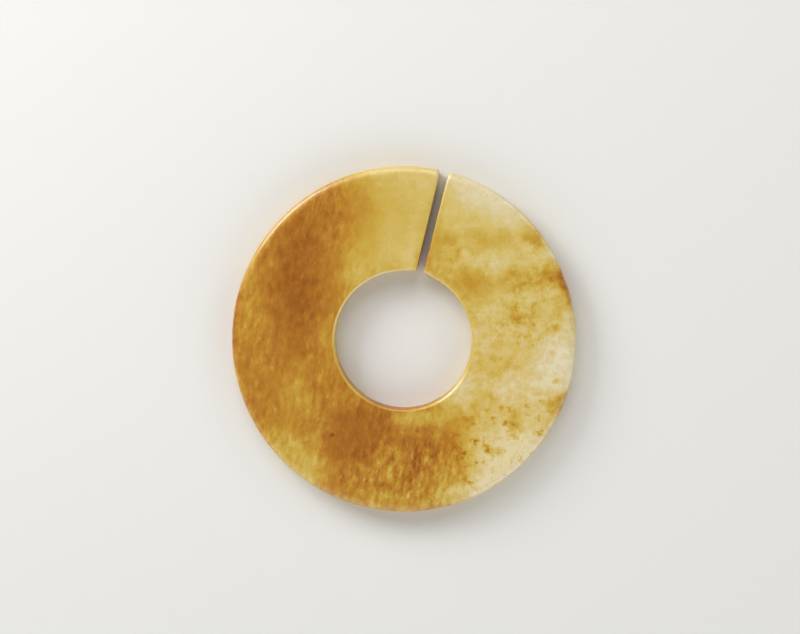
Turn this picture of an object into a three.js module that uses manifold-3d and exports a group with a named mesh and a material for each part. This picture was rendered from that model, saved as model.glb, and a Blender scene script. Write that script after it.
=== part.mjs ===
// Jade slit disc: a flat ring of polished jade, drilled through the middle and sawn through from hole to rim.
// It lies on its back face, front face up along +Z, with its middle over the origin and its slit along +Y.
// Lengths are millimetres. A clock angle is in degrees, clockwise from the slit as seen from the front.

import * as THREE from "three";
import { mergeVertices } from "three/addons/utils/BufferGeometryUtils.js";
import Module from "manifold-3d";

// Driving dimensions
const DISC_WIDTH = 70.0;
const DISC_LENGTH = 70.5;
const THICKNESS = 5.0;
const HOLE_WIDTH = 27.9;
const HOLE_LENGTH = 28.1;
const LONG_WAY_CLOCK = -13.7;
const HOLE_OFF_MIDDLE = 0.1;
const SLIT_WIDTH_AT_RIM = 1.75;
const SLIT_WIDTH_AT_HOLE = 1.5;

// Edges rounded over by polishing and wear. The rim's edge falls less than it comes in
const RIM_ROUNDING = 1.7;
const RIM_FALL = 1.0;
const HOLE_ROUNDING = 0.65;
const SLIT_ROUNDING = 0.3;
const SLIT_MOUTH_ROUNDING = 0.5;

// The hole's edge is worn back on both sides of the slit, where the saw came through
const HOLE_WEAR = 0.4;
const HOLE_WEAR_SPREAD = 9;

// Places where the rim, ground by hand, stands proud of an even oval or falls short of it
const RIM_SWELLS = [
  { clock: -54, spread: 25, proud: -0.1 },
  { clock: 28, spread: 12, proud: 0.1 },
  { clock: 55, spread: 5, proud: -0.05 },
  { clock: 118, spread: 20, proud: -0.13 },
];

// Fineness of the facets: steps round the whole disc, and half the steps on each rounded edge
const TURN_STEPS = 144;
const EDGE_STEPS = 2;

// How far the sawn cut runs past the stone, along the slit and through the two faces
const CUT_OVERRUN = 4.0;
const FACE_OVERRUN = 0.02;

const JADE_COLOUR = 0xc5993d;
const JADE_ROUGHNESS = 0.3;

const RIM_RADIUS = DISC_WIDTH / 2;
const HOLE_RADIUS = HOLE_WIDTH / 2;
const QUARTER_TURN = Math.PI / 2;

// One soft hump round a clock angle: 1 at its middle, falling away over its spread
function hump(clock, middle, spread) {
  const away = (clock - middle) / spread;
  return Math.exp(-away * away);
}

// How much an oval stands outside the circle of its own width, at a clock angle
function ovalGain(clock, width, length) {
  const lengthwise = Math.cos(THREE.MathUtils.degToRad(clock - LONG_WAY_CLOCK));
  return ((length - width) / 2) * lengthwise * lengthwise;
}

function rimGain(clock) {
  let gain = ovalGain(clock, DISC_WIDTH, DISC_LENGTH);
  for (const swell of RIM_SWELLS) {
    gain += swell.proud * hump(clock, swell.clock, swell.spread);
  }
  return gain;
}

// The hole is an oval too, drilled a little off the middle, away from the slit
function holeGain(clock) {
  const towardsSlit = Math.cos(THREE.MathUtils.degToRad(clock));
  const wear = HOLE_WEAR * hump(clock, 0, HOLE_WEAR_SPREAD);
  return ovalGain(clock, HOLE_WIDTH, HOLE_LENGTH) - HOLE_OFF_MIDDLE * towardsSlit + wear;
}

// The ring's section, radius across and height up: a flat bar whose four corners are rounded
function ringSection() {
  const section = new THREE.Path();
  const rimCentre = RIM_RADIUS - RIM_ROUNDING;
  const holeCentre = HOLE_RADIUS + HOLE_ROUNDING;
  section.absellipse(rimCentre, THICKNESS - RIM_FALL, RIM_ROUNDING, RIM_FALL, 0, QUARTER_TURN);
  section.absarc(holeCentre, THICKNESS - HOLE_ROUNDING, HOLE_ROUNDING, QUARTER_TURN, 2 * QUARTER_TURN);
  section.absarc(holeCentre, HOLE_ROUNDING, HOLE_ROUNDING, 2 * QUARTER_TURN, 3 * QUARTER_TURN);
  section.absellipse(rimCentre, RIM_FALL, RIM_ROUNDING, RIM_FALL, 3 * QUARTER_TURN, 4 * QUARTER_TURN);
  section.closePath();
  return section.getPoints(EDGE_STEPS);
}

// Moves every point of a true ring outward to the hand-made outlines of the hole and the rim
function shapeByHand(geometry) {
  const position = geometry.attributes.position;
  for (let i = 0; i < position.count; i += 1) {
    const x = position.getX(i);
    const y = position.getY(i);
    const radius = Math.hypot(x, y);
    const clock = THREE.MathUtils.radToDeg(Math.atan2(x, y));
    const share = THREE.MathUtils.mapLinear(radius, HOLE_RADIUS, RIM_RADIUS, 0, 1);
    const gain = THREE.MathUtils.lerp(holeGain(clock), rimGain(clock), share);
    const stretch = (radius + gain) / radius;
    position.setXY(i, x * stretch, y * stretch);
  }
}

function ringGeometry() {
  const geometry = new THREE.LatheGeometry(ringSection(), TURN_STEPS);
  geometry.rotateX(QUARTER_TURN);
  shapeByHand(geometry);
  return geometry;
}

// The slit seen from the front: straight sides that part a little towards a rounded mouth
function slitOutline() {
  const rim = RIM_RADIUS + rimGain(0);
  const halfAtHole = SLIT_WIDTH_AT_HOLE / 2;
  const halfAtRim = SLIT_WIDTH_AT_RIM / 2;
  const mouthCentre = halfAtRim + SLIT_MOUTH_ROUNDING;
  const mouthStart = rim - SLIT_MOUTH_ROUNDING;
  const start = HOLE_RADIUS - CUT_OVERRUN;
  const end = rim + CUT_OVERRUN;
  const outline = new THREE.Shape();
  outline.moveTo(-halfAtHole, start);
  outline.lineTo(halfAtHole, start);
  outline.lineTo(halfAtHole, HOLE_RADIUS);
  outline.absarc(mouthCentre, mouthStart, SLIT_MOUTH_ROUNDING, 2 * QUARTER_TURN, QUARTER_TURN, true);
  outline.lineTo(mouthCentre, end);
  outline.lineTo(-mouthCentre, end);
  outline.absarc(-mouthCentre, mouthStart, SLIT_MOUTH_ROUNDING, QUARTER_TURN, 0, true);
  outline.lineTo(-halfAtHole, HOLE_RADIUS);
  return outline;
}

// The stone that the saw took away: the slit's outline through the thickness, wider at both faces,
// so that what is left of the stone has rounded edges along the slit
function slitGeometry() {
  const geometry = new THREE.ExtrudeGeometry(slitOutline(), {
    depth: THICKNESS - 2 * SLIT_ROUNDING,
    curveSegments: EDGE_STEPS,
    bevelSegments: 2 * EDGE_STEPS,
    bevelThickness: SLIT_ROUNDING,
    bevelSize: -SLIT_ROUNDING,
    bevelOffset: SLIT_ROUNDING,
  });
  geometry.translate(0, 0, SLIT_ROUNDING - THICKNESS / 2);
  geometry.scale(1, 1, 1 + (2 * FACE_OVERRUN) / THICKNESS);
  geometry.translate(0, 0, THICKNESS / 2);
  return geometry;
}

// A closed geometry as a solid that can be cut
function solidOf(wasm, geometry) {
  geometry.deleteAttribute("normal");
  geometry.deleteAttribute("uv");
  const merged = mergeVertices(geometry);
  const vertProperties = merged.attributes.position.array;
  const triVerts = new Uint32Array(merged.index.array);
  return new wasm.Manifold(new wasm.Mesh({ numProp: 3, vertProperties, triVerts }));
}

function geometryOf(solid) {
  const mesh = solid.getMesh();
  const geometry = new THREE.BufferGeometry();
  geometry.setAttribute("position", new THREE.BufferAttribute(mesh.vertProperties, mesh.numProp));
  geometry.setIndex(new THREE.BufferAttribute(mesh.triVerts, 1));
  geometry.computeVertexNormals();
  return geometry;
}

const wasm = await Module();
wasm.setup();

const ring = solidOf(wasm, ringGeometry());
const slit = solidOf(wasm, slitGeometry());

const jade = new THREE.MeshStandardMaterial({ color: JADE_COLOUR, roughness: JADE_ROUGHNESS, metalness: 0 });
const slitDisc = new THREE.Mesh(geometryOf(ring.subtract(slit)), jade);
slitDisc.name = "slit_disc";

const part = new THREE.Group();
part.add(slitDisc);

export default part;
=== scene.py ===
"""Jade slit disc: a flat ring of polished jade, drilled through the middle and sawn through from hole to rim.

The file is laid out as an add-on and is run as a script. It carves the stone as one closed surface worked
out with numpy, finishes it as stained, hand-polished jade, and sets it on a plain pale floor.
Lengths are metres. A clock angle is in degrees, clockwise from the slit as seen from the front.
"""

import math

import bpy
import numpy as np
from bpy.props import FloatProperty, FloatVectorProperty, PointerProperty
from mathutils import Matrix, Vector


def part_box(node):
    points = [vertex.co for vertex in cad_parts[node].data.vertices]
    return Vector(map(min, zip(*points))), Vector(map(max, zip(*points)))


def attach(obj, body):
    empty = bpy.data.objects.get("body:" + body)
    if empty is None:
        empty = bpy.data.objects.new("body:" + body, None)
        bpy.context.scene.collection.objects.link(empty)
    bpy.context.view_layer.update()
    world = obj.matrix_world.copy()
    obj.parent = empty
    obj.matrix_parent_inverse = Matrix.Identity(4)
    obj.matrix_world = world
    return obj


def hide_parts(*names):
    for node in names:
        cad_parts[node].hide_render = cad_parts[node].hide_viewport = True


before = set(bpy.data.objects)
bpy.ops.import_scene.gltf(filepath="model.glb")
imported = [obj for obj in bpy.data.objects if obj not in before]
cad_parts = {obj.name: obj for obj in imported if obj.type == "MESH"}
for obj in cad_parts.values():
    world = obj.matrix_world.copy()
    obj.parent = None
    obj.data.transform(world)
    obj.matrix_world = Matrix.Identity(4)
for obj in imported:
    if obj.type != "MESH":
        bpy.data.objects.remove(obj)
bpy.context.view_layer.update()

bl_info = {
    "name": "Jade Slit Disc",
    "version": (1, 0, 0),
    "blender": (4, 5, 0),
    "location": "View3D > Sidebar > Slit Disc",
    "description": "Carves a stained jade slit disc and sets it on a plain floor",
    "category": "Object",
}

MM = 0.001
DISC_NODE = "slit_disc"
DISC_LOWEST, DISC_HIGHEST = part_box(DISC_NODE)

# Places where the rim, ground by hand, stands proud of an even oval or falls short of it:
# clock angle, spread in degrees, and how far it stands proud
RIM_SWELLS = (
    (-54.0, 25.0, -0.10 * MM),
    (28.0, 12.0, 0.10 * MM),
    (55.0, 5.0, -0.05 * MM),
    (118.0, 20.0, -0.13 * MM),
)

# Small nicks worn into the rim, in the same terms
RIM_NICKS = (
    (64.3, 1.1, -0.14 * MM),
    (61.0, 1.6, -0.07 * MM),
    (56.0, 1.4, -0.08 * MM),
    (49.5, 1.2, -0.05 * MM),
)

# The clock angle that the disc is longest towards
LONG_WAY_CLOCK = -13.7
# How wide a stretch of the hole's edge the saw wore back, either side of the slit
HOLE_WEAR_SPREAD = 9.0
# The clock angle where the hole's edge is worn roundest, and how wide a stretch of it is
LIP_WEAR_CLOCK = 121.0
LIP_WEAR_SPREAD = 26.0

# Fineness of the mesh: steps round the disc, across its face, over each rounded edge and down its walls
STEPS_ROUND = 500
STEPS_ACROSS = 40
STEPS_EDGE = 10
STEPS_WALL = 10
# What brings t less the cube of t, over a rounded edge, to 1 at its highest
LIP_SCALE = 1.5 * math.sqrt(3)
# Rounds of working out radius and angle from each other, which settle at once
PLAN_ROUNDS = 3
# What keeps the fall, where no edge has a say, from being divided by 0
LEAST_WEIGHT = 1e-12

# The long, low waves that hand polishing leaves in a face: direction in degrees, wavelength, start in degrees
POLISH_WAVES = (
    (20.0, 23.0 * MM, 40.0),
    (75.0, 17.0 * MM, 200.0),
    (140.0, 29.0 * MM, 310.0),
)

# How far the slit leans clockwise in the view that the stains and the camera are set out in
VIEW_LEAN = math.radians(13.7)


def linear(hex_colour):
    """The linear colour of an sRGB hex value, by the sRGB curve."""
    coded = np.array([int(hex_colour[i:i + 2], 16) for i in (1, 3, 5)]) / 255
    straight = np.where(coded <= 0.04045, coded / 12.92, ((coded + 0.055) / 1.055) ** 2.4)
    return tuple(float(channel) for channel in straight)


class SlitDiscShape(bpy.types.PropertyGroup):
    """Sizes of the carved stone."""

    width: FloatProperty(
        name="Width", description="Across the disc, the short way of its oval",
        default=DISC_HIGHEST.x - DISC_LOWEST.x, unit="LENGTH", precision=5)
    ovalness: FloatProperty(
        name="Ovalness", description="Length of the disc over its width",
        default=1.0072, precision=4)
    thickness: FloatProperty(
        name="Thickness", description="From the back face to the front face",
        default=DISC_HIGHEST.z - DISC_LOWEST.z, unit="LENGTH", precision=5)
    hole_width: FloatProperty(
        name="Hole", description="Across the drilled hole",
        default=27.9 * MM, unit="LENGTH", precision=5)
    hole_off_middle: FloatProperty(
        name="Hole off Middle", description="How far off the middle, away from the slit, the hole is",
        default=0.1 * MM, unit="LENGTH", precision=5)
    slit_at_rim: FloatProperty(
        name="Slit at Rim", description="Width of the sawn slit at the rim",
        default=1.75 * MM, unit="LENGTH", precision=5)
    slit_at_hole: FloatProperty(
        name="Slit at Hole", description="Width of the sawn slit at the hole",
        default=1.5 * MM, unit="LENGTH", precision=5)
    rim_rounding: FloatProperty(
        name="Rim Rounding", description="How far in from the rim its polished edge begins",
        default=1.7 * MM, unit="LENGTH", precision=5)
    rim_fall: FloatProperty(
        name="Rim Fall", description="How far the polished edge falls towards the rim",
        default=1.0 * MM, unit="LENGTH", precision=5)
    hole_rounding: FloatProperty(
        name="Hole Rounding", description="Radius of the polished edge round the hole",
        default=0.55 * MM, unit="LENGTH", precision=5)
    lip_wear: FloatProperty(
        name="Lip Wear", description="How much larger that radius is where the edge is worn most",
        default=0.4 * MM, unit="LENGTH", precision=5)
    slit_rounding_at_rim: FloatProperty(
        name="Slit Rounding at Rim", description="Radius of the slit's edges where they meet the rim",
        default=0.65 * MM, unit="LENGTH", precision=5)
    slit_rounding_at_hole: FloatProperty(
        name="Slit Rounding at Hole", description="Radius of the slit's edges where they meet the hole",
        default=0.22 * MM, unit="LENGTH", precision=5)
    hole_wear: FloatProperty(
        name="Hole Wear", description="How far the hole's edge is worn back beside the slit",
        default=0.4 * MM, unit="LENGTH", precision=5)
    polish_hollow: FloatProperty(
        name="Polish Hollows", description="Depth of the low waves left in the faces by hand polishing",
        default=0.03 * MM, unit="LENGTH", precision=6)


class JadeFinish(bpy.types.PropertyGroup):
    """Colours of the stained stone, from palest to darkest, and its polish."""

    bone: FloatVectorProperty(
        name="Bone", description="Bleached stone along the pale rim",
        default=linear("#e2d8b8"), subtype="COLOR", min=0, max=1)
    cream: FloatVectorProperty(
        name="Cream", description="Palest stone of the right side",
        default=linear("#dbca9a"), subtype="COLOR", min=0, max=1)
    straw: FloatVectorProperty(
        name="Straw", description="Clear, pale yellow stone",
        default=linear("#d4bb6a"), subtype="COLOR", min=0, max=1)
    honey: FloatVectorProperty(
        name="Honey", description="Full yellow stone",
        default=linear("#caa947"), subtype="COLOR", min=0, max=1)
    ochre: FloatVectorProperty(
        name="Ochre", description="Stone with a first brown stain",
        default=linear("#c29431"), subtype="COLOR", min=0, max=1)
    amber: FloatVectorProperty(
        name="Amber", description="Well stained stone",
        default=linear("#b67d26"), subtype="COLOR", min=0, max=1)
    russet: FloatVectorProperty(
        name="Russet", description="Deeply stained stone",
        default=linear("#a5661a"), subtype="COLOR", min=0, max=1)
    umber: FloatVectorProperty(
        name="Umber", description="Darkest stains and specks",
        default=linear("#894c0a"), subtype="COLOR", min=0, max=1)
    warm_tint: FloatVectorProperty(
        name="Warm Tint", description="What the stone's colour is multiplied by where it is warmer",
        default=linear("#fff8e2"), subtype="COLOR", min=0, max=1)
    roughness: FloatProperty(
        name="Roughness", description="Roughness of the waxy polish",
        default=0.26, min=0, max=1, subtype="FACTOR")
    translucency: FloatProperty(
        name="Translucency", description="Share of the light that spreads inside the stone",
        default=0.25, min=0, max=1, subtype="FACTOR")


class StageSettings(bpy.types.PropertyGroup):
    """Floor, light and camera."""

    floor_colour: FloatVectorProperty(
        name="Floor", description="Colour of the plain floor",
        default=linear("#e4e3df"), subtype="COLOR", min=0, max=1)
    front_power: FloatProperty(
        name="Front Light", description="Power of the broad soft light, from the top of the view",
        default=3.05, unit="POWER")
    fill_power: FloatProperty(
        name="Fill Light", description="Power of the broad soft light, from the bottom of the view",
        default=3.1, unit="POWER")
    key_power: FloatProperty(
        name="Key Light", description="Power of the soft light from the upper left, which lights the rim",
        default=2.6, unit="POWER")
    side_power: FloatProperty(
        name="Side Light", description="Power of the weaker soft light, from the upper right",
        default=0.5, unit="POWER")
    low_power: FloatProperty(
        name="Low Light", description="Power of the low soft light, from the lower right",
        default=1.5, unit="POWER")
    ceiling_light: FloatProperty(
        name="Ceiling Light", description="Strength of the room's light from overhead",
        default=0.12, min=0)
    near_wall_light: FloatProperty(
        name="Near Wall Light", description="Strength of the room's low light from the bottom of the view",
        default=0.8, min=0)
    far_wall_light: FloatProperty(
        name="Far Wall Light", description="Strength of the room's low light from the top of the view",
        default=0.25, min=0)
    camera_distance: FloatProperty(
        name="Camera Distance", description="From the camera to the middle of the disc",
        default=0.4083, unit="LENGTH")
    lens: FloatProperty(
        name="Lens", description="Focal length, in millimetres, of the camera's lens",
        default=90.0)


def hump(clock, middle, spread):
    """A soft hump round a clock angle: a bell curve of the angle away from its middle, over its spread."""
    away = (clock - middle + 180) % 360 - 180
    return np.exp(-(away / spread) ** 2)


def oval_gain(clock, width, ovalness):
    """How far an oval stands outside the circle of its own width: a squared cosine of the angle."""
    lengthwise = np.cos(np.radians(clock - LONG_WAY_CLOCK))
    return width / 2 * (ovalness - 1) * lengthwise ** 2


def rim_radius(clock, shape):
    """The rim's radius at a clock angle: half the width, the oval's gain, and each swell and nick."""
    radius = shape.width / 2 + oval_gain(clock, shape.width, shape.ovalness)
    for middle, spread, proud in RIM_SWELLS + RIM_NICKS:
        radius = radius + proud * hump(clock, middle, spread)
    return radius


def hole_radius(clock, shape):
    """The hole's radius at a clock angle: half its width, the oval's gain, a cosine of the angle for a
    hole drilled off the middle, and the wear beside the slit."""
    radius = shape.hole_width / 2 + oval_gain(clock, shape.hole_width, shape.ovalness)
    radius = radius - shape.hole_off_middle * np.cos(np.radians(clock))
    return radius + shape.hole_wear * hump(clock, 0, HOLE_WEAR_SPREAD)


def edge_to_edge(steps_edge, steps_middle):
    """Samples from one rounded edge to another: how far round the first edge each is, how far round the
    last one (the sine of an even angle, 1 at the very edge), and its even share of the way between them."""
    rise = np.sin(np.linspace(0, np.pi / 2, steps_edge + 1))
    middle = np.linspace(0, 1, steps_middle + 1)[1:-1]
    none = np.zeros(len(middle) + len(rise))
    first = np.concatenate((rise[::-1], none))
    share = np.concatenate((np.zeros(len(rise)), middle, np.ones(len(rise))))
    return first, first[::-1], share


def disc_sheet(shape):
    """The disc's outline and edge profile on a grid, round the disc by across its face.

    Across, a point goes from the hole's radius to the rim's. Round, it goes from one straight side of the
    slit to the other: an angle whose sine is the slit's half width over the radius. Within a rounding's
    width of an edge the point has gone t of the way round that edge, and the face drops there by the
    edge's fall times one less the root of 1 - t squared. Where two edges meet, the square of their two t is
    pressed into a quarter disc, which rounds the corner. The slit's rounding grows with the cube of the way
    to the rim, and the hole's by a hump where its lip is worn. Gives x, y, the drop below the face, how far
    round the rim's, the slit's and any edge each point is, and the hole's lip, which is 1 half way round its
    edge and 0 on the face and the wall."""
    start, end, round_share = (row[:, None] for row in edge_to_edge(STEPS_EDGE, STEPS_ROUND))
    hole, rim, across_share = (row[None, :] for row in edge_to_edge(STEPS_EDGE, STEPS_ACROSS))
    press_across = np.sqrt(1 - (start + end) ** 2 / 2)
    press_round = np.sqrt(1 - (hole + rim) ** 2 / 2)
    start, end = start * press_round, end * press_round
    hole, rim = hole * press_across, rim * press_across

    slit_sizes = (shape.hole_width / 2, shape.width / 2)
    radius = slit_sizes[0] + across_share * (slit_sizes[1] - slit_sizes[0]) + 0 * start
    for _ in range(PLAN_ROUNDS):
        half = np.interp(radius, slit_sizes, (shape.slit_at_hole / 2, shape.slit_at_rim / 2))
        outwards = np.clip((radius - slit_sizes[0]) / (slit_sizes[1] - slit_sizes[0]), 0, 1) ** 3
        slit_rounding = shape.slit_rounding_at_hole + outwards * (
            shape.slit_rounding_at_rim - shape.slit_rounding_at_hole)
        first = np.arcsin((half + slit_rounding * (1 - start)) / radius)
        last = 2 * np.pi - np.arcsin((half + slit_rounding * (1 - end)) / radius)
        angle = first + round_share * (last - first)
        clock = np.degrees(angle)
        lip_wear = shape.lip_wear * hump(clock, LIP_WEAR_CLOCK, LIP_WEAR_SPREAD)
        hole_rounding = shape.hole_rounding + lip_wear
        inner = hole_radius(clock, shape) + hole_rounding * (1 - hole)
        outer = rim_radius(clock, shape) - shape.rim_rounding * (1 - rim)
        radius = inner + across_share * (outer - inner)

    weight = start ** 2 + end ** 2 + hole ** 2 + rim ** 2
    fall = hole ** 2 * hole_rounding + rim ** 2 * shape.rim_fall
    fall = fall + (start ** 2 + end ** 2) * slit_rounding
    fall = fall / np.maximum(weight, LEAST_WEIGHT)
    drop = fall * (1 - np.sqrt(np.clip(1 - weight, 0, 1)))
    lip = LIP_SCALE * hole * (1 - hole ** 2)
    edges = {
        "hole_lip": lip + 0 * drop, "rim_edge": rim + 0 * drop, "slit_edge": start + end,
        "any_edge": np.sqrt(weight)}
    return radius * np.sin(angle), radius * np.cos(angle), drop, edges


def polish_hollows(x, y, depth):
    """Low hollows of a hand-polished face: the mean of a few long sine waves, from 0 down to the depth."""
    waves = np.zeros_like(x)
    for direction, wavelength, start in POLISH_WAVES:
        way = math.radians(direction)
        along = x * math.cos(way) + y * math.sin(way)
        waves += np.sin(2 * np.pi * along / wavelength + math.radians(start))
    return depth * (0.5 + 0.5 * waves / len(POLISH_WAVES))


def grid_edge(count_round, count_across):
    """The numbers of a grid's outermost points in order: the rim, one slit side, the hole, the other side."""
    numbers = np.arange(count_round * count_across).reshape(count_round, count_across)
    return np.concatenate((
        numbers[:, -1], numbers[-1, -2::-1], numbers[-2::-1, 0], numbers[0, 1:-1]))


def disc_surface(shape):
    """The closed surface of the disc, as points, four-sided faces and how far round each edge a point is.

    The front sheet lies at the thickness less its drop and hollows, the back sheet at its drop and hollows,
    and the wall between their outlines goes straight down in even steps."""
    x, y, drop, edges = disc_sheet(shape)
    size = x.shape
    front = shape.thickness - drop - polish_hollows(x, y, shape.polish_hollow)
    back = drop + polish_hollows(y, x, shape.polish_hollow)
    front_points = np.stack((x, y, front), axis=-1).reshape(-1, 3)
    back_points = np.stack((x, y, back), axis=-1).reshape(-1, 3)

    outline = grid_edge(*size)
    down = np.linspace(0, 1, STEPS_WALL + 1)[1:-1, None, None]
    wall_points = front_points[outline] + down * (back_points[outline] - front_points[outline])
    points = np.concatenate((front_points, back_points, wall_points.reshape(-1, 3)))

    numbers = np.arange(x.size).reshape(size)
    sheet = np.stack((numbers[:-1, :-1], numbers[1:, :-1], numbers[1:, 1:], numbers[:-1, 1:]), axis=-1)
    sheet = sheet.reshape(-1, 4)
    wall_rows = 2 * x.size + np.arange((STEPS_WALL - 1) * len(outline)).reshape(-1, len(outline))
    rows = np.concatenate((outline[None], wall_rows, outline[None] + x.size))
    beside = np.roll(rows, -1, axis=1)
    wall = np.stack((rows[:-1], beside[:-1], beside[1:], rows[1:]), axis=-1).reshape(-1, 4)
    faces = np.concatenate((sheet, sheet[:, ::-1] + x.size, wall))
    for name, share in edges.items():
        share = share.ravel()
        edges[name] = np.concatenate((share, share, np.tile(share[outline], STEPS_WALL - 1)))
    return points, faces, edges


def mesh_piece(name, points, faces, material, values=None):
    """A smooth object at the origin, from arrays of points and four-sided faces, with values at points."""
    mesh = bpy.data.meshes.new(name)
    mesh.vertices.add(len(points))
    mesh.vertices.foreach_set("co", points.astype(np.float32).ravel())
    mesh.loops.add(faces.size)
    mesh.loops.foreach_set("vertex_index", faces.astype(np.int32).ravel())
    mesh.polygons.add(len(faces))
    mesh.polygons.foreach_set("loop_start", np.arange(0, faces.size, 4, dtype=np.int32))
    mesh.polygons.foreach_set("use_smooth", np.ones(len(faces), dtype=bool))
    mesh.materials.append(material)
    mesh.update(calc_edges=True)
    for value_name, value in (values or {}).items():
        mesh.attributes.new(value_name, "FLOAT", "POINT").data.foreach_set("value", value.astype(np.float32))
    piece = bpy.data.objects.new(name, mesh)
    bpy.context.scene.collection.objects.link(piece)
    return piece


def add_node(tree, kind, inputs=None, **settings):
    """Adds a node, sets what it is asked to, and links or fills its inputs by name or number."""
    node = tree.nodes.new(kind)
    for name, value in settings.items():
        setattr(node, name, value)
    for socket, value in (inputs or {}).items():
        if isinstance(value, bpy.types.NodeSocket):
            tree.links.new(value, node.inputs[socket])
        else:
            node.inputs[socket].default_value = value
    return node


# Broad stains in the stone, and one painted highlight, seen from the front with the slit leaning clockwise.
# Each is a soft oval:
# its middle right of and above the disc's middle, its reach along and across, all in millimetres, the turn
# of its long way anticlockwise from level, in degrees, how much of its reach its edge takes, and how far it
# darkens the stone or, below 0, pales it
BROAD_STAINS_AND_HIGHLIGHT = (
    ("russet band down the left", -21.5, 9.5, 19.0, 9.0, 93, 1.0, 0.17),
    ("brown shoulder of the band", -19.0, 23.0, 13.0, 8.0, 60, 1.0, 0.08),
    ("honey at the top", -6.0, 29.0, 8.0, 6.0, 90, 1.0, 0.17),
    ("straw beside the slit", 0.0, 26.0, 12.0, 6.0, 90, 1.0, 0.12),
    ("clear patch above the hole", -8.0, 13.5, 11.0, 6.0, 60, 1.0, -0.28),
    ("golden streak left of it", -10.0, 18.5, 8.0, 4.0, 68, 0.9, -0.15),
    ("paler stripe beside the slit", 2.6, 19.5, 6.5, 1.6, 77, 0.9, -0.06),
    ("golden left rim", -33.0, 8.0, 17.0, 6.0, 88, 1.0, -0.10),
    ("yellow lower left", -22.5, -25.0, 12.0, 7.0, -45, 0.8, -0.23),
    ("pale streak in it", -18.6, -26.0, 4.5, 1.6, 84, 0.8, -0.10),
    ("yellow streaks over it", -22.0, -12.5, 9.0, 6.0, 90, 1.0, -0.13),
    ("golden edge left of the hole", -15.5, 0.0, 8.0, 3.5, 90, 1.0, -0.12),
    ("dark patch under the hole", -9.0, -20.0, 9.5, 7.6, 45, 0.5, 0.12),
    ("golden left end of that patch", -17.0, -20.5, 4.0, 2.5, 80, 0.9, -0.10),
    ("dark patch beside it", 3.5, -22.5, 7.0, 6.0, 80, 0.6, 0.06),
    ("brown end of that patch", 11.2, -19.4, 8.5, 4.5, 80, 0.8, 0.18),
    ("golden cleft between the two", -5.0, -24.0, 7.0, 2.0, 52, 0.9, -0.06),
    ("golden lower end of the patch", 8.0, -29.0, 8.0, 4.0, 70, 0.9, -0.14),
    ("streaky bottom rim", -3.0, -33.0, 16.0, 5.0, 0, 1.0, -0.12),
    ("yellow under the hole", 2.8, -16.2, 7.0, 3.2, 5, 0.9, -0.26),
    ("brown at the hole's foot", 13.5, -15.5, 4.5, 3.0, 60, 0.9, 0.13),
    # Painted highlight, not a stain: pales the face by the hole's lower right edge, where light shines off it
    ("painted highlight by the hole's lower right edge", 10.5, -10.0, 7.0, 4.0, 45, 1.0, -0.11),
    ("pale bottom right rim", 13.0, -32.0, 8.0, 5.5, 15, 0.8, -0.33),
    ("pale lower right", 22.0, -24.5, 13.0, 8.5, 45, 0.8, -0.32),
    ("paler tint round it", 19.5, -18.5, 20.0, 12.0, 45, 0.7, -0.05),
    ("paler tint right of the hole", 20.5, -5.0, 9.0, 8.0, 0, 0.8, -0.05),
    ("honey streaks right of the hole's foot", 17.5, -12.5, 4.0, 2.6, 90, 0.9, 0.09),
    ("honey beside the slit", 7.5, 17.6, 7.0, 5.0, 75, 0.7, 0.14),
    ("honey band across the upper right", 16.0, 20.5, 12.5, 3.2, 2, 0.9, 0.11),
    ("pale band under it", 18.0, 16.2, 6.5, 2.2, 0, 0.9, -0.09),
    ("honey by the hole", 12.8, 12.5, 9.0, 4.5, -35, 0.9, 0.08),
    ("honey tint of the upper right", 18.0, 19.0, 18.0, 14.0, 0, 0.8, 0.04),
    ("band to the right rim", 25.0, 12.4, 9.0, 3.5, 8, 0.7, 0.18),
    ("brown right rim", 31.2, 12.6, 5.5, 3.0, 112, 0.7, 0.28),
    ("brown upper right rim", 27.0, 20.8, 6.5, 2.5, 145, 0.8, 0.22),
    ("pale top right", 17.0, 29.5, 15.0, 6.5, -35, 0.8, -0.22),
    ("spot on the right", 23.0, 5.0, 6.0, 3.5, 0, 0.8, 0.12),
    ("honey at the right rim", 30.5, 6.0, 4.5, 4.0, 60, 0.8, 0.08),
    ("yellow right of the hole", 18.8, -5.0, 7.5, 4.0, 0, 0.7, 0.13),
    ("bleached right rim", 31.5, -5.0, 11.0, 7.5, 80, 0.8, -0.26),
    ("pale band below it", 23.0, -10.0, 9.0, 4.0, 0, 0.8, -0.14),
    ("brown lower right rim", 31.4, -12.9, 5.0, 3.2, 68, 0.8, 0.26),
)

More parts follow.
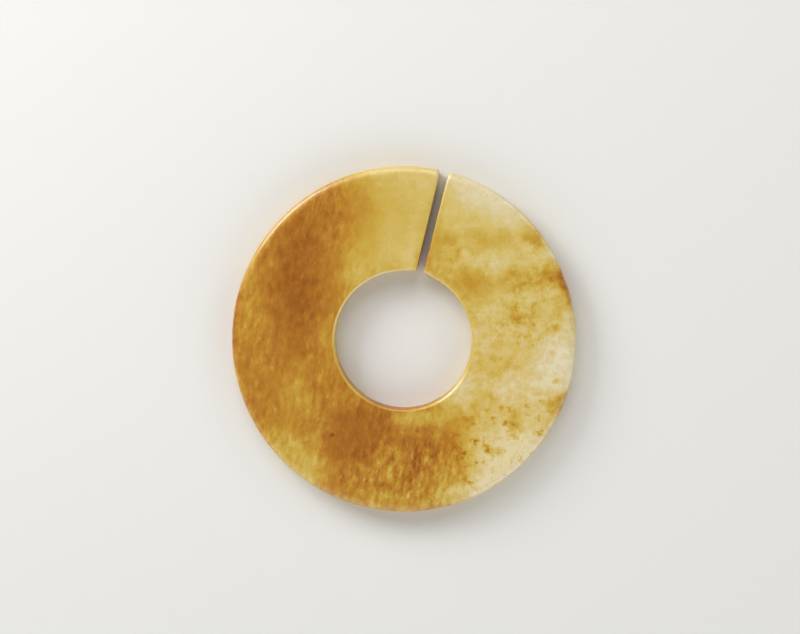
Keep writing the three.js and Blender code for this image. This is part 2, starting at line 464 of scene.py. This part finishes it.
# Smaller stains that keep to their place, in the same terms
SPOTS = (
    ("dark pit at the lower left", -14.4, -19.4, 0.8, 0.6, 20, 1.0, 0.30),
    ("blotch near the bottom right", 18.9, -22.6, 2.8, 1.4, 8, 0.9, 0.32),
    ("blotch on the right rim", 31.0, -8.2, 1.5, 0.9, 20, 0.9, 0.32),
    ("spot on the right rim", 30.1, -2.6, 1.2, 1.0, 0, 0.9, 0.25),
    ("spot above it", 31.0, 2.4, 1.5, 1.2, 60, 0.9, 0.17),
    ("blotch on the lower right", 22.6, -17.2, 3.8, 2.6, 85, 0.9, 0.34),
    ("blotch on the right", 23.2, 4.8, 2.4, 1.5, 5, 0.9, 0.15),
    ("golden patch by the hole", 14.1, 11.0, 6.6, 5.0, -15, 0.7, 0.17),
    ("streak by the slit", 11.2, 17.3, 2.4, 0.9, 75, 0.9, 0.14),
    ("golden streak on the left", -21.3, -8.8, 4.2, 1.3, 76, 1.0, -0.12),
    ("golden streak below it", -19.4, -12.6, 3.2, 1.1, 80, 1.0, -0.08),
    ("golden streak left of the hole", -16.8, -7.4, 2.8, 1.0, 82, 1.0, -0.11),
    ("golden streak at the bottom", -2.6, -27.5, 4.0, 1.2, 78, 1.0, -0.10),
    ("brown fringe left of the slit", 4.4, 23.6, 13.5, 1.9, 76, 0.9, 0.12),
    ("brown inner end of that fringe", 2.8, 16.3, 3.0, 1.2, 76, 0.9, 0.12),
    ("brown fringe right of the slit", 6.8, 23.0, 10.5, 1.4, 76, 0.9, 0.10),
    ("brown inner end of this fringe", 5.2, 15.7, 2.6, 1.3, 76, 0.9, 0.16),
    ("honey right of the slit", 7.7, 22.3, 4.0, 2.6, 76, 0.9, 0.09),
    ("brown fringe above the hole", 8.1, 12.5, 5.5, 1.4, -33, 0.9, 0.13),
    ("brown fringe right of the hole", 13.3, 6.8, 5.5, 1.4, -63, 0.9, 0.11),
    ("pale nick left of the hole", -15.4, -11.5, 0.6, 0.3, 60, 0.9, -0.25),
    ("pale nick at the bottom", -12.7, -27.9, 0.7, 0.3, 75, 0.9, -0.25),
    ("pale nick beside it", -7.9, -28.5, 0.7, 0.3, 75, 0.9, -0.25),
)

# Where the marks in the stone are fainter and the stains' edges calmer, below 0, or the marks stronger than
# elsewhere, in the same terms
LIVELINESS = (
    ("calm stretch left of the slit", -1.0, 25.0, 16.0, 14.0, 90, 0.7, -0.60),
    ("calm russet band", -22.0, 12.0, 22.0, 10.0, 90, 0.7, -0.35),
    ("streaky bottom", 4.0, -28.0, 22.0, 11.0, 0, 0.8, 0.7),
    ("calm dark patch", -10.5, -20.0, 9.0, 7.0, 45, 0.7, -0.5),
    ("calm top right", 16.0, 25.0, 18.0, 11.0, -35, 0.8, -0.45),
    ("calm lower left", -23.0, -11.0, 14.0, 10.0, 90, 0.8, -0.20),
    ("calm stretch above the hole", -10.0, 16.0, 11.0, 7.0, 60, 0.7, -0.3),
    ("calm golden patch by the hole", 14.1, 11.0, 7.5, 5.5, -15, 0.7, -0.5),
)

# Where the pale side is specked with brown, in the same terms
SPECKLED = (
    ("lower right", 21.5, -21.0, 17.0, 11.0, 42, 0.5, 1.5),
    ("right", 26.0, 3.0, 12.0, 9.0, 90, 0.7, 0.7),
    ("upper right", 21.0, 16.0, 14.0, 8.0, 0, 0.8, 0.3),
)

# Where the stone's tint is warmer, in the same terms
WARM_PLACES = (
    ("lower right", 19.0, -19.5, 22.0, 13.5, 45, 0.7, 1.0),
    ("right of the hole", 20.0, -3.5, 9.0, 9.0, 0, 0.8, 0.6),
)

# Where the very edge of the rim is stained, or carries a painted highlight or painted shade, in the same
# terms
RIM_STAINS_AND_PAINTED_LIGHT = (
    ("russet edge on the right", 33.2, 10.0, 6.0, 4.0, 107, 0.6, 0.45),
    ("russet edge on the lower right", 32.8, -11.5, 4.0, 3.0, 70, 0.6, 0.35),
    # Painted highlight: pales the rim's edge at the upper right, where light shines off it
    ("painted highlight on the upper right edge", 30.0, 18.0, 4.0, 2.5, 120, 0.7, -0.28),
    # Painted shade: darkens the rim's edge on the left, where it is turned from the light
    ("painted shade on the left edge", -34.5, 5.0, 14.0, 5.0, 95, 0.8, 0.30),
    # Partly paler stone, partly a painted highlight that whitens the rim's shine at the upper left
    ("paler edge and painted highlight on the upper left", -23.0, 26.0, 22.0, 8.0, 45, 0.8, -0.12),
)

# Where the lip of the hole is stained, or carries a painted highlight or painted shade, in the same terms
LIP_STAINS_AND_PAINTED_LIGHT = (
    ("honey lip on the right", 13.5, 2.0, 11.0, 6.0, 90, 0.6, 0.10),
    # Painted highlight: whitens the lip at the lower right, where the key light shines off it
    ("painted highlight on the lip at the lower right", 10.0, -10.2, 6.0, 3.0, 45, 0.8, -0.16),
    # Painted highlight: pales the lip at the upper left, where low light shines off it
    ("painted highlight on the lip at the upper left", -10.0, 10.0, 18.0, 10.0, 45, 0.7, -0.28),
    # Painted shade: keeps the lip at the bottom dark, as if it were out of the light
    ("painted shade on the lip at the bottom", -2.5, -14.2, 9.0, 5.0, 0, 0.7, 0.16),
)

# Where the walls are stained, or carry painted shade, in the same terms
WALL_STAINS_AND_SHADE = (
    # Painted shade: darkens the wall at the bottom of the hole, which faces the light
    ("painted shade on the wall at the bottom of the hole", 3.0, -13.5, 15.0, 8.0, 10, 0.6, 0.20),
    ("brown wall on the right of the hole", 13.8, -3.5, 7.0, 4.0, 100, 0.7, 0.12),
    ("pale wall on the left of the hole", -14.0, 1.5, 8.0, 4.0, 90, 0.7, -0.14),
)

# Where the edges of the slit are stained, in the same terms
SLIT_STAINS = (
    ("orange inner end of the slit", 4.0, 16.5, 9.0, 4.0, 75, 1.0, 0.35),
    ("pale outer end of the slit", 8.5, 32.5, 6.0, 4.0, 75, 1.0, -0.15),
)

# The boundary between the stained left and the pale right: its turn, its place and how soft it is
SIDE_TURN = math.radians(21)
SIDE_FROM = -2.5 * MM
SIDE_TO = 7.5 * MM
LEFT_LEVEL = 0.76
RIGHT_LEVEL = 0.335

# The noise that bends the stains: its size, how far it moves them, and the share of that where it is calmest
WARP_SIZE = 4.5 * MM
WARP_REACH = 7.0 * MM
CALM_SHARE = 0.2
# Sizes of the stone's own marks, how far each changes the level of stain, and the values of its noise where
# a mark begins and is full
FIBRE_SIZE = 1.2 * MM
FIBRE_CHANGE = 0.24
FLECK_SIZE = 0.9 * MM
FLECK_CHANGE = -0.20
FLECK_FROM, FLECK_TO = 0.54, 0.84
CLOUD_SIZE = 1.5 * MM
CLOUD_CHANGE = 0.07
CLOUD_FROM, CLOUD_TO = 0.38, 0.62
SPECK_SIZE = 1.4 * MM
SPECK_CHANGE = 0.27
SPECK_FROM, SPECK_TO = 0.51, 0.71
GRAIN_SIZE = 0.4 * MM
GRAIN_CHANGE = 0.12
# How much darker, or below 0 paler, than the face the slit's and the rim's edges are; the rim's paling is
# partly a painted highlight
SLIT_STAIN = -0.05
RIM_TONE_AND_HIGHLIGHT = -0.06
# The level of stain that the hole's lip is drawn towards, and how much of the way it has gone: partly wear,
# partly a painted highlight that pales the lip round the hole's edge
LIP_LEVEL = 0.38
LIP_SHARE = 0.75
# The same for the walls, which darkens them where the face is pale: partly wear, partly painted shade along
# the edges; with how far round an edge its wall begins and how much rougher than a face it is
WALL_LEVEL = 0.58
WALL_SHARE = 0.5
WALL_FROM = 0.80
WALL_ROUGHNESS = 0.25
# How the fibres lie, anticlockwise from level, and how much longer than wide they and the clouds are
FIBRE_TURN = math.radians(80)
FIBRE_LENGTH = 2.0
CLOUD_LENGTH = 1.1
# How unevenly the stone took its polish: the size of the uneven places and how much rougher or smoother
# they are, and the size and depth of the low waviness between its fibres
POLISH_SIZE = 5.0 * MM
POLISH_CHANGE = 0.10
PORE_SIZE = 0.9 * MM
PORE_DEPTH = 0.006 * MM
# How strongly nephrite bends light, and how far red, green and blue light spreads inside it
JADE_IOR = 1.61
SPREAD_SHARES = (1.0, 0.55, 0.2)
SPREAD_REACH = 1.5 * MM


def soft_ovals(tree, place, value, ovals):
    """Nodes that add soft ovals to a value: each is its change times a smooth step in from its reach."""
    for words, right, up, along, across, turn, edge, change in ovals:
        oval = add_node(tree, "ShaderNodeMapping", {
            "Vector": place, "Location": (right * MM, up * MM, 0), "Rotation": (0, 0, math.radians(turn)),
            "Scale": (along * MM, across * MM, 1)}, vector_type="TEXTURE", label=words)
        oval = add_node(tree, "ShaderNodeTexGradient", {0: oval.outputs[0]}, gradient_type="SPHERICAL")
        oval = add_node(tree, "ShaderNodeMapRange", {
            "Value": oval.outputs["Fac"], "From Max": edge, "To Min": 0.0, "To Max": change},
            interpolation_type="SMOOTHSTEP")
        value = add_node(tree, "ShaderNodeMath", {0: value, 1: oval.outputs[0]}, operation="ADD").outputs[0]
    return value


def stone_marks(tree, place, bent, side):
    """Nodes for the stone's own marks: fibres and pale flecks along them on the stained side, clouds and,
    where it is speckled, specks on the pale one, and fine grain over both."""
    along_fibres = add_node(tree, "ShaderNodeMapping", {
        "Vector": place, "Rotation": (0, 0, FIBRE_TURN), "Scale": (FIBRE_LENGTH, 1, 1)},
        vector_type="TEXTURE")
    fibre = add_node(tree, "ShaderNodeTexNoise", {
        "Vector": along_fibres.outputs[0], "Scale": 1 / FIBRE_SIZE, "Detail": 4.0, "Roughness": 0.5})
    fibre = add_node(tree, "ShaderNodeMapRange", {
        "Value": fibre.outputs["Fac"], "To Min": -FIBRE_CHANGE, "To Max": FIBRE_CHANGE})
    fleck = add_node(tree, "ShaderNodeTexNoise", {
        "Vector": along_fibres.outputs[0], "Scale": 1 / FLECK_SIZE, "Detail": 3.0})
    fleck = add_node(tree, "ShaderNodeMapRange", {
        "Value": fleck.outputs["Fac"], "From Min": FLECK_FROM, "From Max": FLECK_TO,
        "To Min": 0.0, "To Max": FLECK_CHANGE})
    stained = add_node(tree, "ShaderNodeMath", {0: fibre.outputs[0], 1: fleck.outputs[0]}, operation="ADD")

    along_clouds = add_node(tree, "ShaderNodeMapping", {
        "Vector": place, "Scale": (CLOUD_LENGTH, 1, 1)}, vector_type="TEXTURE")
    cloud = add_node(tree, "ShaderNodeTexNoise", {
        "Vector": along_clouds.outputs[0], "Scale": 1 / CLOUD_SIZE, "Detail": 5.0, "Roughness": 0.6})
    cloud = add_node(tree, "ShaderNodeMapRange", {
        "Value": cloud.outputs["Fac"], "From Min": CLOUD_FROM, "From Max": CLOUD_TO,
        "To Min": -CLOUD_CHANGE, "To Max": CLOUD_CHANGE}, interpolation_type="SMOOTHSTEP")
    speck = add_node(tree, "ShaderNodeTexNoise", {
        "Vector": place, "Scale": 1 / SPECK_SIZE, "Detail": 4.0, "Roughness": 0.55})
    speck = add_node(tree, "ShaderNodeMapRange", {
        "Value": speck.outputs["Fac"], "From Min": SPECK_FROM, "From Max": SPECK_TO,
        "To Min": 0.0, "To Max": SPECK_CHANGE}, interpolation_type="SMOOTHSTEP")
    speckled = soft_ovals(tree, bent, 0.0, SPECKLED)
    pale = add_node(tree, "ShaderNodeMath", {
        0: speck.outputs[0], 1: speckled, 2: cloud.outputs[0]}, operation="MULTIPLY_ADD")

    marks = add_node(tree, "ShaderNodeMix", {"Factor": side, 2: stained.outputs[0], 3: pale.outputs[0]})
    grain = add_node(tree, "ShaderNodeTexNoise", {
        "Vector": along_fibres.outputs[0], "Scale": 1 / GRAIN_SIZE, "Detail": 2.0})
    grain = add_node(tree, "ShaderNodeMapRange", {
        "Value": grain.outputs["Fac"], "To Min": -GRAIN_CHANGE, "To Max": GRAIN_CHANGE})
    marks = add_node(tree, "ShaderNodeMath", {0: marks.outputs[0], 1: grain.outputs[0]}, operation="ADD")
    return marks.outputs[0]


def stain_level(tree, place, wall):
    """Nodes for how stained the stone is, from 0, bleached, to 1, darkest: the two sides and each broad
    stain, with one painted highlight by the hole, on a place that noise has bent more where the stone is
    livelier, then the smaller stains and the stone's marks, the stain of each edge with its painted
    highlights and painted shade, and the lip and the walls drawn towards a level of their own: partly wear,
    partly a painted highlight on the lip and painted shade on the walls."""
    bend = add_node(tree, "ShaderNodeTexNoise", {
        "Vector": place, "Scale": 1 / WARP_SIZE, "Detail": 5.0, "Roughness": 0.6})
    bend = add_node(tree, "ShaderNodeVectorMath", {
        0: bend.outputs["Color"], 1: (0.5, 0.5, 0.5)}, operation="SUBTRACT")
    liveliness = soft_ovals(tree, place, 1.0, LIVELINESS)
    reach = add_node(tree, "ShaderNodeMapRange", {
        "Value": liveliness, "To Min": WARP_REACH * CALM_SHARE, "To Max": WARP_REACH})
    reach = add_node(tree, "ShaderNodeCombineXYZ", {0: reach.outputs[0], 1: reach.outputs[0]})
    bent = add_node(tree, "ShaderNodeVectorMath", {
        0: bend.outputs[0], 1: reach.outputs[0], 2: place}, operation="MULTIPLY_ADD")
    bent = bent.outputs[0]

    side = add_node(tree, "ShaderNodeMapping", {
        "Vector": bent, "Rotation": (0, 0, SIDE_TURN)}, vector_type="TEXTURE")
    side = add_node(tree, "ShaderNodeSeparateXYZ", {0: side.outputs[0]})
    side = add_node(tree, "ShaderNodeMapRange", {
        "Value": side.outputs["X"], "From Min": SIDE_FROM, "From Max": SIDE_TO},
        interpolation_type="SMOOTHSTEP")
    side = side.outputs[0]
    level = add_node(tree, "ShaderNodeMapRange", {
        "Value": side, "To Min": LEFT_LEVEL, "To Max": RIGHT_LEVEL}).outputs[0]
    level = soft_ovals(tree, bent, level, BROAD_STAINS_AND_HIGHLIGHT)
    level = soft_ovals(tree, place, level, SPOTS)

    level = add_node(tree, "ShaderNodeMath", {
        0: stone_marks(tree, place, bent, side), 1: liveliness, 2: level}, operation="MULTIPLY_ADD")
    # The hole's lip drawn towards a paler level: partly wear, partly a painted highlight round the hole's
    # edge
    lip = add_node(tree, "ShaderNodeMath", {
        0: level.outputs[0], 1: -LIP_SHARE, 2: LIP_SHARE * LIP_LEVEL}, operation="MULTIPLY_ADD")
    # Each edge's stain, with painted highlights on the rim and the lip and painted shade on the lip's bottom
    # and the left rim
    edge_stains_and_painted_light = {
        "hole_lip": soft_ovals(tree, place, lip.outputs[0], LIP_STAINS_AND_PAINTED_LIGHT),
        "rim_edge": soft_ovals(tree, bent, RIM_TONE_AND_HIGHLIGHT, RIM_STAINS_AND_PAINTED_LIGHT),
        "slit_edge": soft_ovals(tree, place, SLIT_STAIN, SLIT_STAINS)}
    for name, change in edge_stains_and_painted_light.items():
        edge = add_node(tree, "ShaderNodeAttribute", attribute_name=name)
        level = add_node(tree, "ShaderNodeMath", {
            0: edge.outputs["Fac"], 1: change, 2: level.outputs[0]}, operation="MULTIPLY_ADD")
    # The walls drawn towards a level of their own and darker at the bottom of the hole: partly wear, partly
    # painted shade
    wall_wear_and_shade = add_node(tree, "ShaderNodeMath", {
        0: level.outputs[0], 1: -WALL_SHARE, 2: WALL_SHARE * WALL_LEVEL}, operation="MULTIPLY_ADD")
    wall_wear_and_shade = soft_ovals(tree, place, wall_wear_and_shade.outputs[0], WALL_STAINS_AND_SHADE)
    level = add_node(tree, "ShaderNodeMath", {
        0: wall, 1: wall_wear_and_shade, 2: level.outputs[0]}, operation="MULTIPLY_ADD")
    return level.outputs[0]


def polished_jade(finish):
    """Nephrite, ground and polished by hand and stained by burial: a waxy gloss over stone that lets a
    little light in, cream on one side and honey to russet on the other, clouded, streaked and specked. Its
    edges carry some painted highlight and painted shade in their colour."""
    material = bpy.data.materials.new("stained_polished_jade")
    material.use_nodes = True
    tree = material.node_tree
    tree.nodes.clear()
    place = add_node(tree, "ShaderNodeTexCoord").outputs["Object"]
    place = add_node(tree, "ShaderNodeMapping", {"Vector": place, "Rotation": (0, 0, -VIEW_LEAN)}).outputs[0]
    wall = add_node(tree, "ShaderNodeAttribute", attribute_name="any_edge")
    wall = add_node(tree, "ShaderNodeMapRange", {"Value": wall.outputs["Fac"], "From Min": WALL_FROM})
    wall = wall.outputs[0]
    level = stain_level(tree, place, wall)

    ramp = add_node(tree, "ShaderNodeValToRGB", {0: level})
    stops = (
        (0.00, finish.bone), (0.16, finish.cream), (0.36, finish.straw), (0.51, finish.honey),
        (0.63, finish.ochre), (0.75, finish.amber), (0.88, finish.russet), (1.00, finish.umber))
    while len(ramp.color_ramp.elements) < len(stops):
        ramp.color_ramp.elements.new(1.0)
    for element, (position, colour) in zip(ramp.color_ramp.elements, stops):
        element.position = position
        element.color = (*colour, 1.0)

    colour = add_node(tree, "ShaderNodeMix", {
        0: soft_ovals(tree, place, 0.0, WARM_PLACES), 6: ramp.outputs[0], 7: (*finish.warm_tint, 1.0)},
        data_type="RGBA", blend_type="MULTIPLY")

    polish = add_node(tree, "ShaderNodeTexNoise", {"Vector": place, "Scale": 1 / POLISH_SIZE, "Detail": 4.0})
    roughness = add_node(tree, "ShaderNodeMapRange", {
        "Value": polish.outputs["Fac"],
        "To Min": finish.roughness - POLISH_CHANGE, "To Max": finish.roughness + POLISH_CHANGE})
    roughness = add_node(tree, "ShaderNodeMath", {
        0: wall, 1: WALL_ROUGHNESS, 2: roughness.outputs[0]}, operation="MULTIPLY_ADD")
    pores = add_node(tree, "ShaderNodeTexNoise", {"Vector": place, "Scale": 1 / PORE_SIZE, "Detail": 3.0})
    pores = add_node(tree, "ShaderNodeBump", {
        "Height": pores.outputs["Fac"], "Distance": PORE_DEPTH, "Strength": 1.0})
    shader = add_node(tree, "ShaderNodeBsdfPrincipled", {
        "Base Color": colour.outputs[2], "Roughness": roughness.outputs[0], "IOR": JADE_IOR,
        "Normal": pores.outputs[0], "Subsurface Weight": finish.translucency,
        "Subsurface Radius": SPREAD_SHARES, "Subsurface Scale": SPREAD_REACH})
    add_node(tree, "ShaderNodeOutputMaterial", {0: shader.outputs[0]})
    return material


# How rough the floor's board is, and how strongly it mirrors
FLOOR_ROUGHNESS = 0.9
FLOOR_GLOSS = 0.1


def matt_floor(colour):
    """Smooth matt board: one pale tone with no gloss."""
    material = bpy.data.materials.new("pale_matt_board")
    material.use_nodes = True
    shader = material.node_tree.nodes["Principled BSDF"]
    shader.inputs["Base Color"].default_value = (*colour, 1.0)
    shader.inputs["Roughness"].default_value = FLOOR_ROUGHNESS
    shader.inputs["Specular IOR Level"].default_value = FLOOR_GLOSS
    return material


class SLITDISC_OT_carve(bpy.types.Operator):
    """Carve and polish the jade disc in place of its plain solid"""

    bl_idname = "slit_disc.carve"
    bl_label = "Carve Jade Disc"

    def execute(self, context):
        shape = context.scene.slit_disc_shape
        finish = context.scene.slit_disc_finish
        points, faces, edges = disc_surface(shape)
        piece = mesh_piece("jade_disc", points, faces, polished_jade(finish), edges)
        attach(piece, "root")
        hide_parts(DISC_NODE)
        return {"FINISHED"}


# The floor lies this far under the disc, so that no two surfaces share a place
FLOOR_GAP = 0.02 * MM
FLOOR_REACH = 3.0

# Where the camera stands and looks: how far towards the right and the top of the view it leans off
# straight above the disc, and the point it looks at, right of and above the disc's middle
CAMERA_RIGHT = math.radians(2.5)
CAMERA_UP = math.radians(4.3)
AIM_RIGHT = -0.75 * MM
AIM_UP = 4.55 * MM

# Where the soft lights stand, in the view: name, turn anticlockwise from the right and lean off overhead,
# both in degrees, distance and size
SOFT_LIGHTS = (
    ("front", 100, 45, 0.9, 0.6),
    ("fill", -110, 58, 0.9, 1.1),
    ("key", 138, 64, 0.6, 0.28),
    ("side", 45, 62, 0.7, 0.2),
    ("low", -42, 64, 0.7, 0.6),
)
# How high the walls' light reaches and the ceiling's begins, as the sine of the angle above the floor
WALLS_TO = 0.3
CEILING_FROM = 0.7


def view_axes():
    """The view's right, its up, and straight up from the floor."""
    right = Vector((math.cos(VIEW_LEAN), math.sin(VIEW_LEAN), 0))
    up = Vector((-math.sin(VIEW_LEAN), math.cos(VIEW_LEAN), 0))
    return right, up, Vector((0, 0, 1))


def facing(eye, target, up):
    """The placing of a camera or light at eye that looks at target, with up upwards in its view."""
    back = (eye - target).normalized()
    side = up.cross(back).normalized()
    turn = Matrix((side, back.cross(side), back)).transposed()
    return Matrix.Translation(eye) @ turn.to_4x4()


def soft_light(name, target, turn, lean, distance, size, power):
    """A square soft light that faces target, turned anticlockwise from the view's right and leaning off
    overhead."""
    lamp = bpy.data.lights.new(name, "AREA")
    lamp.shape = "SQUARE"
    lamp.size = size
    lamp.energy = power
    right, up, above = view_axes()
    turn, lean = math.radians(turn), math.radians(lean)
    way = (right * math.cos(turn) + up * math.sin(turn)) * math.sin(lean) + above * math.cos(lean)
    light = bpy.data.objects.new(name, lamp)
    light.matrix_world = facing(target + way * distance, target, up)
    bpy.context.scene.collection.objects.link(light)


def soft_room(ceiling, near_wall, far_wall):
    """A plain white room: brighter low down than overhead, so that edges shine more than faces, and brighter
    towards the bottom of the view than towards its top."""
    world = bpy.data.worlds.new("soft_room")
    world.use_nodes = True
    tree = world.node_tree
    way = add_node(tree, "ShaderNodeTexCoord").outputs["Generated"]
    height = add_node(tree, "ShaderNodeSeparateXYZ", {0: way}).outputs["Z"]
    farness = add_node(tree, "ShaderNodeVectorMath", {0: way, 1: view_axes()[1]}, operation="DOT_PRODUCT")
    walls = add_node(tree, "ShaderNodeMapRange", {
        "Value": farness.outputs["Value"], "From Min": -1.0, "From Max": 1.0,
        "To Min": near_wall, "To Max": far_wall}, interpolation_type="SMOOTHSTEP")
    strength = add_node(tree, "ShaderNodeMapRange", {
        "Value": height, "From Min": WALLS_TO, "From Max": CEILING_FROM,
        "To Min": walls.outputs[0], "To Max": ceiling}, interpolation_type="SMOOTHSTEP")
    tree.links.new(strength.outputs[0], tree.nodes["Background"].inputs["Strength"])
    tree.nodes["Background"].inputs["Color"].default_value = (*linear("#ffffff"), 1.0)
    return world


class SLITDISC_OT_set_stage(bpy.types.Operator):
    """Lay the plain floor and set the lights and the camera"""

    bl_idname = "slit_disc.set_stage"
    bl_label = "Set Stage"

    def execute(self, context):
        stage = context.scene.slit_disc_stage
        corners = np.array(((-1, -1, 0), (1, -1, 0), (1, 1, 0), (-1, 1, 0))) * FLOOR_REACH
        corners[:, 2] = -FLOOR_GAP
        floor = mesh_piece("floor", corners, np.array(((0, 1, 2, 3),)), matt_floor(stage.floor_colour))

        right, up, above = view_axes()
        middle = above * (DISC_HIGHEST.z + DISC_LOWEST.z) / 2
        for name, turn, lean, distance, size in SOFT_LIGHTS:
            soft_light(name, middle, turn, lean, distance, size, getattr(stage, f"{name}_power"))
        context.scene.world = soft_room(stage.ceiling_light, stage.near_wall_light, stage.far_wall_light)
        context.scene.view_settings.view_transform = "Standard"

        camera = bpy.data.objects.new("camera", bpy.data.cameras.new("camera"))
        camera.data.lens = stage.lens
        eye_way = (right * math.tan(CAMERA_RIGHT) + up * math.tan(CAMERA_UP) + above).normalized()
        aim = middle + right * AIM_RIGHT + up * AIM_UP
        camera.matrix_world = facing(middle + eye_way * stage.camera_distance, aim, up)
        context.scene.collection.objects.link(camera)
        context.scene.camera = camera
        return {"FINISHED"}


class SLITDISC_PT_panel(bpy.types.Panel):
    """The disc's tools in the 3D view's sidebar"""

    bl_label = "Slit Disc"
    bl_space_type = "VIEW_3D"
    bl_region_type = "UI"
    bl_category = "Slit Disc"

    def draw(self, context):
        groups = (
            (context.scene.slit_disc_shape, SLITDISC_OT_carve.bl_idname),
            (context.scene.slit_disc_finish, None),
            (context.scene.slit_disc_stage, SLITDISC_OT_set_stage.bl_idname),
        )
        for group, operator in groups:
            box = self.layout.box()
            for name in group.__annotations__:
                box.prop(group, name)
            if operator:
                box.operator(operator)


CLASSES = (
    SlitDiscShape, JadeFinish, StageSettings,
    SLITDISC_OT_carve, SLITDISC_OT_set_stage, SLITDISC_PT_panel,
)


def register():
    for cls in CLASSES:
        bpy.utils.register_class(cls)
    bpy.types.Scene.slit_disc_shape = PointerProperty(type=SlitDiscShape)
    bpy.types.Scene.slit_disc_finish = PointerProperty(type=JadeFinish)
    bpy.types.Scene.slit_disc_stage = PointerProperty(type=StageSettings)


def unregister():
    del bpy.types.Scene.slit_disc_shape
    del bpy.types.Scene.slit_disc_finish
    del bpy.types.Scene.slit_disc_stage
    for cls in reversed(CLASSES):
        bpy.utils.unregister_class(cls)


def main():
    """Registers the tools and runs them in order."""
    register()
    bpy.ops.slit_disc.carve()
    bpy.ops.slit_disc.set_stage()


if __name__ == "__main__":
    main()
